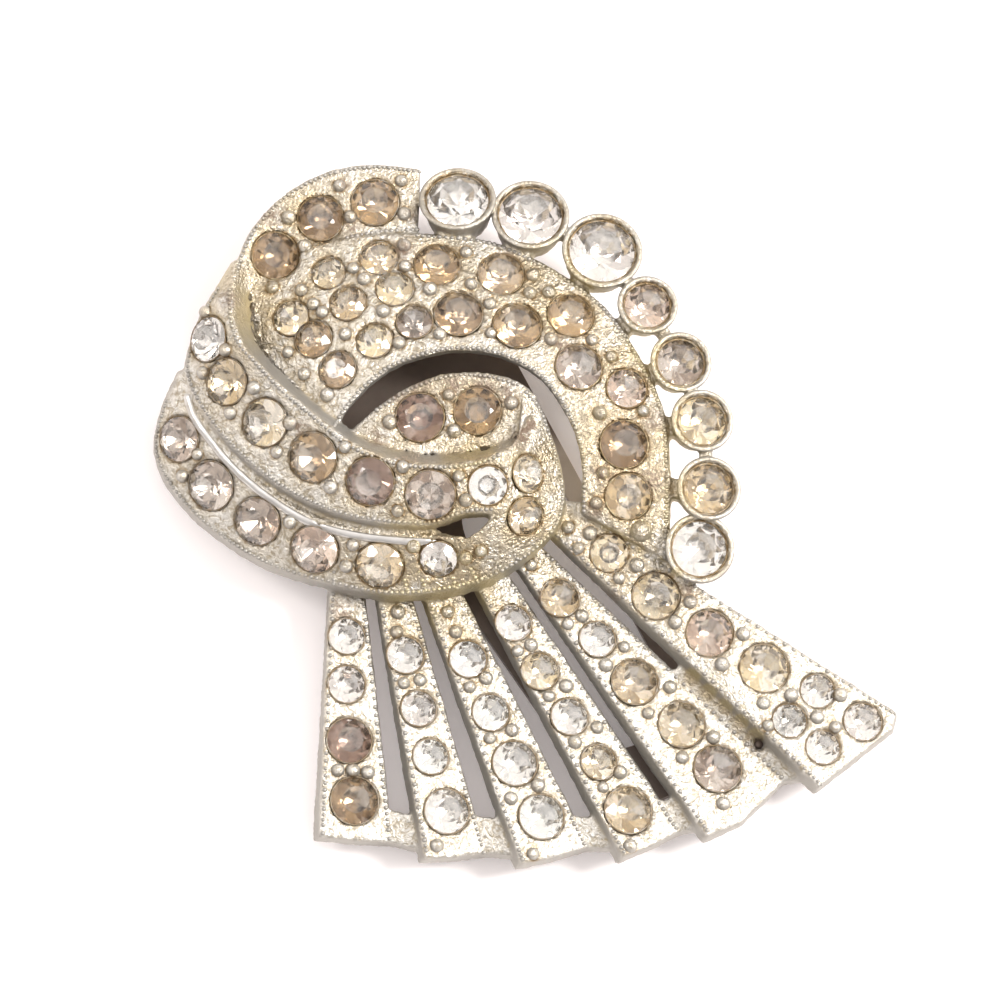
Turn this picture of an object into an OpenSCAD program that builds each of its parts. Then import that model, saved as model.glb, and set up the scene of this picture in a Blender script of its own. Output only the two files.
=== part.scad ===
// Dress clip: a cast metal ribbon loop and a pleated fan, set with round cut stones, on a plain back clip.
// Millimetres. The clip lies on its back clip, +Z up, with its own long axis along Y and the fan towards -Y.
//
// The outlines were drawn from a viewing direction that leans a little from straight above. A table point is
// [across, up, height]: across and up as that view shows them, and the height above the casting's foot.
// lay() finds the point's true place in plan, so each edge has both its outline and its height.

/* [View of the outline tables] */
// Angle of the viewing direction above the ground
view_el = 78; // [72:1:86]
// Angle between the tables' up direction and the clip's own axis
own_turn = 22; // [15:1:30]
// Plan position, across, of the middle of the clip's box
mid_across = -2.05; // [-5:0.05:5]
// Plan position, along, of the middle of the clip's box
mid_along = -0.05; // [-5:0.05:5]

/* [Casting] */
// Height of the casting's foot above the surface that the clip lies on
stand = 0.7; // [0.6:0.1:1.2]
// Thickness of the cast shell of the bands
shell_t = 1.9; // [1.8:0.1:2.2]
// Rise of the middle of a band above the line between its edges
band_crown = 0.15; // [0.05:0.05:0.3]
// Width of the solid foot along each edge of a band, underneath
band_lip = 0.7; // [0.5:0.1:1]
// Outward slope of the inner wall of a band, as a width; below zero the wall leans back under the band
inner_out = -0.15; // [-0.3:0.05:0.5]
// Outward slope of the outer wall of a band, as a width
wall_out = 0.1; // [-0.2:0.05:0.5]
// Height of the outer wall of a band
wall_drop = 1.6; // [1.2:0.1:2]
// Thickness of a slat
slat_t = 1.9; // [1.8:0.1:2.2]
// Outward slope of a slat's raised wall at its outer end, as a width
slat_draft = 0.55; // [0.2:0.05:0.8]

/* [Bezel cups] */
// Width of the rim round a cup's stone
rim_w = 0.48; // [0.4:0.02:0.7]
// Height of a cup from foot to rim
cup_h = 2.7; // [2.6:0.1:3.2]
// How much narrower a cup's radius is at its foot
cup_taper = 0.55; // [0.3:0.05:0.8]
// Depth of a stone's girdle below the rim of its cup
cup_recess = 0.35; // [0.2:0.05:0.5]

/* [Stones] */
// Gap between a stone's girdle and the wall of its seat
seat_gap = 0.07; // [0.06:0.01:0.12]
// Depth of a stone's girdle below the face that it is set in
seat_sink = 0.1; // [0.05:0.05:0.2]
// Height of the crown as a share of the stone's width
crown_share = 0.17; // [0.12:0.01:0.2]
// Thickness of the girdle
girdle_t = 0.12; // [0.08:0.01:0.2]
// Depth of the pavilion as a share of the stone's width
pavilion_share = 0.36; // [0.3:0.01:0.38]
// Width of the table as a share of the stone's width
table_share = 0.56; // [0.5:0.01:0.65]

/* [Back clip] */
// Thickness of the clip's plate
plate_t = 1; // [0.8:0.1:1.2]
// Distance between the circles at the plate's two ends
plate_reach = 33.3; // [28:0.1:34]
// Radius of the plate's rounded outer end
plate_tip_r = 5.3; // [5:0.1:5.6]
// Half the width of the window in the plate
window_r = 4.1; // [3:0.1:4.3]
// Radius of the barrel at the plate's top end
barrel_r = 1.3; // [1:0.1:1.5]
// Clear gap between the clip's stem and the pad on the casting
stem_gap = 0.1; // [0.05:0.05:0.3]
// Height of the underside of the pad that the stem stands under
pad_z = 5.6; // [5.4:0.1:5.8]

/* [Hidden] */

metal = "#cfc6ae";
dark_metal = "#4a3f36";
glass = "#e9e2d4";
smoked = "#a8957a";
steps = 2;

// Outline tables of the bands. Columns: inner edge across, up, height, outer edge across, up, height.
// Two bands have a shaped wall below the inner edge: its width and its drop are two more columns.
// The lower band's is a floor under the front ribbon. The front ribbon's is smooth and slopes to the loop.
// The lower band's last column is the slope of its outer wall, which leans back at the knot.
loop_rows = [
    [-13.7,  6.5, 8.2, -20.5, 12.4, 5.0],
    [-13.0,  7.8, 8.6, -20.8, 14.8, 5.2],
    [-11.8,  9.2, 8.8, -20.1, 17.0, 5.6],
    [ -9.9, 10.8, 9.0, -17.2, 19.4, 6.1],
    [ -7.6, 11.8, 9.2, -13.1, 20.8, 6.4],
    [ -5.2, 12.3, 9.2,  -7.8, 21.2, 6.5],
    [ -2.6, 12.2, 9.1,  -2.2, 20.6, 6.5],
    [ -0.4, 11.5, 9.0,   2.7, 18.4, 6.7],
    [  1.5, 10.3, 8.9,   6.5, 15.5, 6.9],
    [  2.9,  8.5, 8.8,   9.2, 11.5, 7.1],
    [  4.0,  6.4, 8.6,  10.8,  7.7, 7.2],
    [  4.6,  4.0, 8.3,  11.2,  3.8, 7.2],
    [  4.6,  1.7, 7.8,  11.2,  0.0, 6.8],
    [  4.6,  0.2, 7.2,  11.0, -3.4, 6.2]
];
top_rows = [
    [ -7.7, 20.6, 6.1,  -7.5, 26.0, 5.8],
    [-10.4, 20.5, 6.1, -10.9, 26.4, 5.8],
    [-12.9, 20.0, 6.0, -14.3, 25.9, 5.8],
    [-15.6, 19.3, 5.7, -17.2, 24.5, 5.9],
    [-17.3, 18.3, 5.5, -19.4, 22.5, 6.1],
    [-18.7, 16.9, 5.3, -20.7, 20.5, 6.5],
    [-19.6, 15.4, 5.1, -21.4, 18.4, 6.9]
];
oval_rows = [
    [-12.7,  6.0, 8.4, -12.5,  6.5, 8.4],
    [-10.9,  5.4, 8.7, -10.7,  8.1, 9.0],
    [ -9.0,  5.0, 8.8,  -8.8,  9.4, 9.3],
    [ -6.7,  4.7, 8.9,  -6.7, 10.3, 9.5],
    [ -4.5,  4.7, 8.9,  -4.6, 10.7, 9.6],
    [ -2.5,  5.1, 9.0,  -2.2, 10.6, 9.5],
    [ -0.7,  5.8, 9.1,  -0.1, 10.0, 9.4],
    [  0.5,  6.7, 9.2,   1.3,  8.9, 9.2]
];
lower_rows = [
    [-24.7, 11.0,  5.8, -25.7, 10.9, 5.0, 0.6, 1.6,  0.05],
    [-24.6,  9.2,  5.8, -26.8,  8.5, 4.0, 1.6, 1.3,  0.05],
    [-24.0,  7.5,  6.0, -27.5,  5.8, 3.4, 2.0, 1.2,  0.05],
    [-22.6,  5.5,  6.3, -27.2,  3.7, 3.2, 2.0, 1.2,  0.05],
    [-20.7,  3.4,  6.7, -25.6,  1.1, 3.4, 2.0, 1.2,  0.08],
    [-18.1,  1.3,  7.1, -22.9, -1.4, 3.9, 2.0, 1.2,  0.10],
    [-15.1, -0.4,  7.5, -18.9, -3.8, 4.6, 2.0, 1.2,  0.15],
    [-12.0, -1.1,  7.9, -14.6, -5.1, 5.2, 2.0, 1.2,  0.20],
    [ -9.0, -1.4,  8.2, -10.1, -6.0, 5.6, 1.8, 1.2,  0.25],
    [ -6.1, -1.6,  8.5,  -6.1, -5.8, 6.0, 0.8, 1.4,  0.25],
    [ -4.0, -1.6,  8.9,  -2.5, -4.9, 6.3, 0.2, 1.6,  0.25],
    [ -2.8, -0.9,  9.3,   0.5, -3.2, 6.7, 0.2, 1.6,  0.10],
    [ -2.0,  0.2,  9.8,   2.7, -1.1, 7.0, 0.2, 1.6, -0.05],
    [ -1.5,  1.5, 10.2,   3.4,  1.1, 7.1, 0.2, 1.6, -0.15],
    [ -1.1,  3.0, 10.6,   3.1,  3.7, 7.3, 0.2, 1.6, -0.15],
    [ -0.9,  4.3, 10.8,   2.3,  6.2, 7.9, 0.2, 1.6, -0.15],
    [ -0.6,  5.2, 10.7,   1.6,  8.2, 8.7, 0.2, 1.6, -0.10],
    [ -0.1,  6.1, 10.3,   0.3,  9.7, 9.3, 0.2, 1.6,  0.00]
];
front_rows = [
    [-21.2, 19.3,  6.9, -21.7, 19.0, 6.4, 0.4, 0.6],
    [-21.6, 16.9,  8.0, -22.9, 17.0, 6.6, 1.6, 2.2],
    [-21.5, 14.8,  8.8, -24.0, 15.1, 6.4, 2.1, 3.2],
    [-20.9, 13.0,  9.3, -24.9, 12.5, 6.0, 2.1, 3.5],
    [-19.6, 11.4,  9.7, -25.1, 10.5, 5.8, 2.0, 3.4],
    [-17.6,  9.4, 10.0, -24.0,  8.0, 6.3, 1.8, 3.0],
    [-15.1,  7.3, 10.4, -21.6,  5.0, 7.2, 1.6, 2.6],
    [-12.8,  5.5, 10.7, -17.9,  2.0, 8.0, 1.5, 2.3],
    [-10.1,  4.3, 10.9, -13.7,  0.1, 8.8, 1.5, 2.2],
    [ -7.5,  3.8, 11.0,  -9.6, -0.7, 9.3, 1.4, 2.2],
    [ -5.1,  3.8, 11.0,  -6.5, -0.7, 9.6, 1.4, 2.1],
    [ -3.0,  4.1, 10.9,  -4.2,  0.1, 9.8, 1.3, 1.9],
    [ -1.3,  4.8, 10.8,  -2.1,  0.2, 9.9, 1.2, 1.6],
    [ -0.1,  5.3, 10.4,  -0.8,  0.7, 9.5, 0.8, 1.4]
];

// Slats, one row each: [left root, right root, right end, left end, tip], each a point [across, up, height].
// The left edge stands higher than the right one, as in a pleat, and the tip is a corner between the ends.
slat_rows = [
    [[-14.2, -4.3, 3.7], [-11.8, -4.3, 3.3], [-9.5, -24.5, 2.0], [-15.0, -24.1, 3.1], [-12.2, -24.4, 2.6]],
    [[-11.0, -4.3, 4.1], [ -8.6, -4.3, 3.7], [-2.5, -25.3, 2.3], [ -7.1, -25.7, 3.5], [ -4.8, -25.6, 2.9]],
    [[ -7.8, -4.3, 4.5], [ -5.2, -4.1, 4.0], [ 5.2, -24.8, 2.5], [  0.1, -26.1, 3.8], [  2.7, -25.6, 3.1]],
    [[ -3.9, -4.1, 4.8], [ -1.5, -3.5, 4.3], [12.1, -23.6, 2.6], [  7.7, -25.6, 4.0], [  9.9, -24.7, 3.3]],
    [[ -0.6, -3.1, 5.2], [  1.4, -2.1, 4.7], [20.0, -19.7, 2.5], [ 14.0, -24.0, 4.1], [ 16.6, -23.0, 3.4]],
    [[  2.3, -1.3, 6.1], [  6.4, -0.9, 6.3], [28.3, -14.8, 2.3], [ 22.4, -20.3, 4.2], [ 28.0, -16.0, 2.7]]
];
// Share of its length at which the gap after each slat ends in a bridge to the next one
gap_ends = [0.87, 0.86, 0.88, 0.88, 0.53];
// Corners of the landing where the last slat, the knot and the loop meet
landing = [[3.0, 1.1, 6.2], [6.2, 0.9, 6.4], [10.4, -3.4, 5.9], [6.4, -1.2, 6.3], [2.3, -1.4, 6.1]];

// Stones: [across, up, width]
top_stones = [[-10.9, 23.5, 3.5], [-15.0, 22.3, 3.4], [-18.4, 19.5, 3.5]];
front_stones = [
    [-23.4, 13.2, 3.4], [-22.0, 10.0, 3.5], [-19.1, 6.9, 3.6], [-15.5, 4.3, 3.7],
    [-11.2, 2.5, 3.6], [-6.7, 1.5, 3.7], [-2.4, 2.2, 2.9]
];
knot_stones = [[0.6, 3.1, 2.8], [0.4, -0.1, 2.8]];
lower_stones = [
    [-25.6, 5.7, 3.4], [-23.2, 2.2, 3.7], [-19.7, -0.5, 3.6], [-15.4, -2.6, 3.6],
    [-10.5, -3.8, 3.5], [-6.1, -3.3, 2.8]
];
oval_stones = [[-7.5, 7.3, 3.6], [-3.2, 7.8, 3.5]];
loop_field = [
    [-14.4, 18.2, 2.5], [-10.6, 19.4, 2.8], [-6.2, 18.8, 3.4], [-1.4, 18.1, 3.4], [3.8, 15.0, 3.4],
    [4.4, 11.1, 3.5], [8.0, 9.5, 3.0], [7.8, 5.3, 3.6], [8.1, 1.4, 3.4], [-12.9, 15.9, 2.7],
    [-9.4, 17.0, 2.8], [-4.6, 15.1, 3.6], [-0.2, 14.2, 3.6], [-17.2, 14.8, 2.7], [-15.5, 13.2, 2.8],
    [-10.9, 13.1, 2.7], [-7.9, 14.5, 2.7], [-13.7, 10.9, 2.8]
];
slat_fields = [
    [[-13.0, -9.1, 2.7], [-13.0, -12.7, 2.8], [-12.8, -16.9, 3.4], [-12.4, -21.4, 3.6]],
    [[-8.6, -10.5, 2.8], [-7.6, -14.5, 2.7], [-6.7, -18.1, 2.7], [-5.5, -22.2, 3.4]],
    [[-3.9, -10.8, 2.8], [-2.2, -14.8, 2.8], [-0.4, -18.6, 3.4], [1.6, -22.6, 3.4]],
    [[-0.5, -8.1, 2.7], [1.5, -11.7, 2.8], [3.7, -15.1, 2.8], [5.9, -18.5, 2.7], [8.1, -22.1, 3.6]],
    [[3.0, -6.2, 2.9], [5.8, -9.3, 2.7], [8.6, -12.5, 3.5], [12.1, -15.7, 3.5], [14.8, -19.0, 3.6]],
    [
        [6.7, -2.9, 2.8], [10.2, -6.1, 3.5], [14.2, -8.9, 3.5], [18.3, -11.5, 3.7],
        [22.3, -13.2, 2.6], [20.2, -15.4, 2.6], [25.7, -15.5, 2.9], [22.7, -17.4, 2.6]
    ]
];

// Bezel cups: [across, up, height of the rim, width of the stone, lean of the cup, direction of the lean]
cup_rows = [
    [-4.7, 23.8, 6.7, 4.7, 24,  95],
    [ 0.8, 22.6, 6.8, 4.8, 17,  78],
    [ 6.2, 19.9, 7.0, 5.0, 13,  58],
    [ 9.6, 15.8, 7.2, 3.5, 11,  40],
    [12.1, 11.5, 7.4, 3.6, 12,  18],
    [13.7,  7.1, 7.4, 3.7, 13,   8],
    [14.2,  2.0, 7.3, 3.8, 13,  -3],
    [13.5, -2.5, 6.9, 4.2, 12, -20]
];

// Plan point of the head of the back clip, and the direction of its plate from straight down the view
clip_head = [-7.5, 13.2];
clip_turn = 28;

// Parts of the back clip, drawn from its head with the plate along X: [along, aside] and sizes
head_middles = [[1, -4.6], [1, 1.6]];
head_r = 4;
tip_aside = 0.3;
window_ends = [15.4, 30.9];
barrel_end = [-1, 2.5];
barrel_l = 7;
barrel_sunk = 0.7;
stem_corner = [-2, -4];
stem_size = [2, 6];
pad_corner = [-2.6, -4.5];
pad_size = [3.2, 7, 1.6];
round_sides = 48;

// Seat of a stone: radius of its flat floor, and height of its opening above the girdle
seat_floor_r = 0.35;
seat_open = 1.2;
seat_sides = 10;

// Bars of the cups: depth of their middle below the rims, radius, height, and reach from the cup's wall
lug_bar = [1.3, 0.75, 1.5];
lug_reach = [-0.6, 1.0];
neck_bar = [1.0, 0.5, 1.4];
bar_sides = 8;
cup_sides = 16;

// Share of the draft that a slat's raised wall has at its root
root_draft = 0.4;
// Bridges: reach under the low edge, reach into the next wall, and rise and thickness as shares of a slat's
bridge_under = 0.5;
bridge_tuck = 0.9;
bridge_rise = 0.45;
bridge_share = 0.8;
bridge_last = 0.97;
bridge_first = 0.98;

// Pierced hole between the front ribbon and the lower band: [across, up] of its corners, and their height
keyhole_corners = [
    [-6.6, -0.9], [-5.0, -0.6], [-4.1, -0.1], [-3.1, 0.0],
    [-2.2, -0.1], [-2.9, -0.9], [-3.9, -1.6], [-5.1, -1.2]
];
keyhole_height = 9.3;
keyhole_depth = 30;

// Small casting hole at the outer end of the widest bridge: its place, radius, depth and turn
flaw_place = [17.9, -17.1, 3];
flaw_r = 0.42;
flaw_depth = 8;
flaw_turn = -40;

function lay(p) = [
    p[0],
    (p[1] - (p[2] + stand) * cos(view_el)) / sin(view_el),
    p[2] + stand
];
function as_seen(p) = [p[0], p[1] * sin(view_el) + p[2] * cos(view_el)];
function unit(v) = v / norm(v);
function flat(v) = [v[0], v[1], 0];

// Smooth curve through a table's rows
function row_at(rows, i) = rows[max(0, min(len(rows) - 1, i))];
function glide(a, b, c, d, t) =
    0.5 * (2 * b + (c - a) * t + (2 * a - 5 * b + 4 * c - d) * t * t + (3 * b - a - 3 * c + d) * t * t * t);
function smooth(rows) = [
    for (i = [0 : len(rows) - 2])
        for (k = [0 : steps - 1])
            glide(row_at(rows, i - 1), rows[i], rows[i + 1], row_at(rows, i + 2), k / steps),
    rows[len(rows) - 1]
];

// A face is a list of [inner edge, outer edge] in space, one pair for each section
function face_of(rows) = [
    for (r = rows) [lay([r[0], r[1], r[2]]), lay([r[3], r[4], r[5]])]
];
function slat_face(s) = [
    for (k = [0 : 8])
        let (t = k / 8) [lay(s[1]) * (1 - t) + lay(s[2]) * t, lay(s[0]) * (1 - t) + lay(s[3]) * t]
];

loop_face = face_of(smooth(loop_rows));
top_face = face_of(smooth(top_rows));
oval_face = face_of(smooth(oval_rows));
lower_face = face_of(smooth(lower_rows));
front_face = face_of(smooth(front_rows));
slat_faces = [for (s = slat_rows) slat_face(s)];

// Place on a face of a point given as the view shows it: [section, lean across, share across]
function turn_side(s, q) =
    let (o = as_seen(s[1]), d = unit(as_seen(s[0]) - o), e = q - o) d[0] * e[1] - d[1] * e[0];
function share_across(s, q) =
    let (o = as_seen(s[1]), d = as_seen(s[0]) - o) (q - o) * d / (d * d);
function places(face, q) = [
    for (i = [0 : len(face) - 2])
        let (a = turn_side(face[i], q), b = turn_side(face[i + 1], q))
        if (a * b <= 0 && a != b)
            let (t = a / (a - b), s = face[i] * (1 - t) + face[i + 1] * t, w = share_across(s, q))
            if (w > -0.2 && w < 1.2) [i, s, w]
];

// Stands its children on a face, upright to it, where the view shows the point q
module set_on(face, q, rise = 0) {
    place = places(face, [q[0], q[1]])[0];
    i = place[0];
    s = place[1];
    w = place[2];
    u = unit(s[0] - s[1]);
    along = (face[i + 1][0] + face[i + 1][1]) - (face[i][0] + face[i][1]);
    n0 = unit(cross(u, along));
    n = n0[2] < 0 ? -n0 : n0;
    v = cross(n, u);
    p = s[1] + (s[0] - s[1]) * w + n * rise * (1 - abs(2 * w - 1));
    multmatrix([
        [u[0], v[0], n[0], p[0]],
        [u[1], v[1], n[1], p[1]],
        [u[2], v[2], n[2], p[2]]
    ]) children();
}

// Round cut stone: an eight-sided table, sixteen crown facets, a girdle and eight pavilion facets
module cut_stone(w) {
    r = w / 2;
    table = [
        for (k = [0 : 7])
            [r * table_share * cos(45 * k), r * table_share * sin(45 * k), w * crown_share]
    ];
    girdle = [
        for (z = [0, -girdle_t]) for (k = [0 : 7])
            [r * cos(45 * k + 22.5), r * sin(45 * k + 22.5), z]
    ];
    culet = [[0, 0, -girdle_t - w * pavilion_share]];
    polyhedron(
        points = concat(table, girdle, culet),
        faces = concat(
            [[for (k = [7 : -1 : 0]) k]],
            [for (k = [0 : 7]) [k, (k + 1) % 8, k + 8]],
            [for (k = [0 : 7]) [k + 8, (k + 1) % 8, (k + 1) % 8 + 8]],
            [for (k = [0 : 7]) [k + 8, (k + 1) % 8 + 8, (k + 1) % 8 + 16, k + 16]],
            [for (k = [0 : 7]) [k + 16, (k + 1) % 8 + 16, 24]]
        )
    );
}

// Space that a stone needs in the metal: a straight wall round the girdle and a cone under it
module seat(w) {
    r = (w / 2 + seat_gap) / cos(180 / seat_sides);
    floor_z = -girdle_t - w * pavilion_share - seat_gap;
    rotate_extrude($fn = seat_sides)
        polygon([
            [0, floor_z], [seat_floor_r, floor_z],
            [r, -girdle_t - seat_gap], [r, seat_open], [0, seat_open]
        ]);
}

module stone_on(face, s) {
    set_on(face, s, band_crown) translate([0, 0, -seat_sink]) cut_stone(s[2]);
}

module seat_on(face, s) {
    set_on(face, s, band_crown) translate([0, 0, -seat_sink]) seat(s[2]);
}

// Cross-section of a band, as seven points: inner foot, inner edge, crown, outer edge, outer foot and the
// two edges of its underside
function band_section(row) =
    let (
        a = lay([row[0], row[1], row[2]]),
        b = lay([row[3], row[4], row[5]]),
        h = unit(flat(a - b)),
        f = unit(a - b),
        n = [-h[0] * f[2], -h[1] * f[2], norm(flat(f))],
        in_w = len(row) > 6 ? row[6] : inner_out,
        in_drop = len(row) > 6 ? row[7] : wall_drop,
        out_w = len(row) > 8 ? row[8] : wall_out
    ) [
        a + h * in_w - [0, 0, in_drop],
        a,
        (a + b) / 2 + n * band_crown,
        b,
        b - h * out_w - [0, 0, wall_drop],
        b - n * shell_t + h * band_lip,
        a - n * shell_t - h * band_lip
    ];

// Band swept through a table's rows
module band(rows) {
    ahead = rows[1] - rows[0];
    over = [rows[0][3] - rows[0][0], rows[0][4] - rows[0][1]];
    listed = smooth(rows);
    last = len(listed) - 1;
    clockwise = ahead[0] * over[1] - ahead[1] * over[0] > 0;
    sections = [for (i = [0 : last]) band_section(listed[clockwise ? last - i : i])];
    m = len(sections[0]);
    polyhedron(
        points = [for (s = sections) for (p = s) p],
        faces = concat(
            [[for (j = [0 : m - 1]) j]],
            [[for (j = [m - 1 : -1 : 0]) last * m + j]],
            [
                for (i = [0 : last - 1]) for (j = [0 : m - 1])
                    [i * m + j, (i + 1) * m + j, (i + 1) * m + (j + 1) % m]
            ],
            [
                for (i = [0 : last - 1]) for (j = [0 : m - 1])
                    [i * m + j, (i + 1) * m + (j + 1) % m, i * m + (j + 1) % m]
            ]
        )
    );
}

// Convex plate between matching corners of its top and its underside
module plate(top, bottom) {
    n = len(top);
    hull() polyhedron(
        points = concat(top, bottom),
        faces = concat(
            [[for (j = [n - 1 : -1 : 0]) j]],
            [[for (j = [0 : n - 1]) j + n]],
            [for (j = [0 : n - 1]) [j, (j + 1) % n, (j + 1) % n + n, j + n]]
        )
    );
}

// Direction from a slat's right edge to its left edge, level
function slat_left(s) = unit(flat(lay(s[3]) - lay(s[2])));
function foot_of(s, t) =
    let (top = lay(s[0]) * (1 - t) + lay(s[3]) * t)
    top + slat_left(s) * slat_draft * (root_draft + (1 - root_draft) * t) - [0, 0, slat_t];

module slat(s) {
    top = [lay(s[0]), lay(s[1]), lay(s[2]), lay(s[4]), lay(s[3])];
    down = [0, 0, -slat_t];
    bottom = [foot_of(s, 0), top[1] + down, top[2] + down, top[3] + down, foot_of(s, 1)];
    plate(top, bottom);
}

// Stepped floor that joins the low edge of a slat to the foot of the next one's wall
module bridge(s, next, from) {
    a = lay(s[1]) * (1 - from) + lay(s[2]) * from;
    b = lay(s[2]);
    tuck = [0, 0, slat_t * bridge_rise] - slat_left(next) * bridge_tuck;
    c = foot_of(next, bridge_last) + tuck;
    d = foot_of(next, from * bridge_first) + tuck;
    under = slat_left(s) * bridge_under;
    top = [a + under, b + under, c, d];
    plate(top, [for (p = top) p - [0, 0, slat_t * bridge_share]]);
}

function cup_centre(c) = lay([c[0], c[1], c[2]]);
function cup_out(c) = [cos(c[5]), sin(c[5]), 0];

module at_cup(c) {
    translate(cup_centre(c)) rotate([0, 0, c[5]]) rotate([0, c[4], 0]) children();
}

module cup(c) {
    r = c[3] / 2 + rim_w;
    at_cup(c) translate([0, 0, -cup_h]) cylinder(h = cup_h, r1 = r - cup_taper, r2 = r, $fn = cup_sides);
}

module cup_seat(c) {
    at_cup(c) translate([0, 0, -cup_recess]) seat(c[3]);
}

// Short bar between a cup and the loop's edge, or between two cups
module web(p, q, bar) {
    down = [0, 0, bar[0]];
    hull() {
        translate(p - down) cylinder(h = bar[2], r = bar[1], center = true, $fn = bar_sides);
        translate(q - down) cylinder(h = bar[2], r = bar[1], center = true, $fn = bar_sides);
    }
}

module cup_lug(c) {
    r = c[3] / 2 + rim_w;
    p = cup_centre(c);
    web(p - cup_out(c) * (r + lug_reach[0]), p - cup_out(c) * (r + lug_reach[1]), lug_bar);
}

module cup_neck(c, d) {
    p = cup_centre(c);
    q = cup_centre(d);
    dir = unit(q - p);
    web(p + dir * (c[3] / 2), q - dir * (d[3] / 2), neck_bar);
}

module fan() {
    for (s = slat_rows) slat(s);
    for (k = [0 : 4]) bridge(slat_rows[k], slat_rows[k + 1], gap_ends[k]);
    top = [for (p = landing) lay(p)];
    plate(top, [for (p = top) p - [0, 0, slat_t]]);
}

module cups() {
    for (c = cup_rows) {
        cup(c);
        cup_lug(c);
    }
    for (k = [0 : 6]) cup_neck(cup_rows[k], cup_rows[k + 1]);
}

module keyhole() {
    shift = (keyhole_height + stand) * cos(view_el);
    linear_extrude(height = keyhole_depth)
        polygon([for (p = keyhole_corners) [p[0], (p[1] - shift) / sin(view_el)]]);
}

module flaw() {
    p = lay(flaw_place);
    translate([p[0], p[1], 0]) rotate([0, 0, flaw_turn]) cylinder(h = flaw_depth, r = flaw_r, $fn = 8);
}

module seats() {
    for (s = top_stones) seat_on(top_face, s);
    for (s = front_stones) seat_on(front_face, s);
    for (s = knot_stones) seat_on(lower_face, s);
    for (s = lower_stones) seat_on(lower_face, s);
    for (s = oval_stones) seat_on(oval_face, s);
    for (s = loop_field) seat_on(loop_face, s);
    for (k = [0 : 5]) for (s = slat_fields[k]) seat_on(slat_faces[k], s);
    for (c = cup_rows) cup_seat(c);
}

module as_owned() {
    translate([-mid_across, -mid_along, 0]) rotate([0, 0, -own_turn]) children();
}

module at_clip() {
    translate([clip_head[0], clip_head[1], 0]) rotate([0, 0, clip_turn - 90]) children();
}

// Pad under the loop that the back clip is fixed to
module pad() {
    at_clip() translate([pad_corner[0], pad_corner[1], pad_z]) cube(pad_size);
}

module casting() {
    color(metal) as_owned() difference() {
        union() {
            band(loop_rows);
            band(top_rows);
            band(oval_rows);
            band(lower_rows);
            band(front_rows);
            fan();
            cups();
            pad();
        }
        keyhole();
        flaw();
        seats();
    }
}

module back_clip() {
    color(dark_metal) as_owned() at_clip() {
        linear_extrude(height = plate_t) difference() {
            hull() {
                for (p = head_middles) translate(p) circle(r = head_r, $fn = round_sides);
                translate([head_middles[0][0] + plate_reach, tip_aside])
                    circle(r = plate_tip_r, $fn = round_sides);
            }
            hull() for (x = window_ends) translate([x, 0]) circle(r = window_r, $fn = round_sides);
        }
        translate([barrel_end[0], barrel_end[1], plate_t + barrel_r * barrel_sunk])
            rotate([90, 0, 0]) cylinder(h = barrel_l, r = barrel_r, $fn = 32);
        translate([stem_corner[0], stem_corner[1], plate_t / 2])
            cube([stem_size[0], stem_size[1], pad_z - stem_gap - plate_t / 2]);
    }
}

module rim_stone(i) {
    color(glass) as_owned() at_cup(cup_rows[i]) translate([0, 0, -cup_recess]) cut_stone(cup_rows[i][3]);
}

module band_stone(i) {
    color(smoked) as_owned() stone_on(top_face, top_stones[i]);
}

module front_stone(i) {
    color(glass) as_owned() stone_on(front_face, front_stones[i]);
}

module knot_stone(i) {
    color(glass) as_owned() stone_on(lower_face, knot_stones[i]);
}

module lower_stone(i) {
    color(glass) as_owned() stone_on(lower_face, lower_stones[i]);
}

module oval_stone(i) {
    color(smoked) as_owned() stone_on(oval_face, oval_stones[i]);
}

module loop_stones() {
    color(glass) as_owned() for (s = loop_field) stone_on(loop_face, s);
}

module fan_stones() {
    color(glass) as_owned() for (k = [0 : 5]) for (s = slat_fields[k]) stone_on(slat_faces[k], s);
}

casting();
back_clip();
rim_stone(0);  // rim_stone_1
rim_stone(1);  // rim_stone_2
rim_stone(2);  // rim_stone_3
rim_stone(3);  // rim_stone_4
rim_stone(4);  // rim_stone_5
rim_stone(5);  // rim_stone_6
rim_stone(6);  // rim_stone_7
rim_stone(7);  // rim_stone_8
band_stone(0);  // band_stone_1
band_stone(1);  // band_stone_2
band_stone(2);  // band_stone_3
front_stone(0);  // front_stone_1
front_stone(1);  // front_stone_2
front_stone(2);  // front_stone_3
front_stone(3);  // front_stone_4
front_stone(4);  // front_stone_5
front_stone(5);  // front_stone_6
front_stone(6);  // front_stone_7
knot_stone(0);  // knot_stone_1
knot_stone(1);  // knot_stone_2
lower_stone(0);  // lower_stone_1
lower_stone(1);  // lower_stone_2
lower_stone(2);  // lower_stone_3
lower_stone(3);  // lower_stone_4
lower_stone(4);  // lower_stone_5
lower_stone(5);  // lower_stone_6
oval_stone(0);  // oval_stone_1
oval_stone(1);  // oval_stone_2
loop_stones();
fan_stones();
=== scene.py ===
# %% [markdown]
# # Dress clip: from plain solids to cast metal and foiled glass
# The imported model already holds every piece at its real size. This notebook dresses it:
# the casting gets a soft, grainy skin, beads and beaded edges, and each stone gets its
# real cut. It starts by loading the model.

# %% Load the frame
import math
import random
import bpy
import bmesh
import numpy as np
from mathutils import Matrix, Vector
from mathutils.bvhtree import BVHTree


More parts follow.
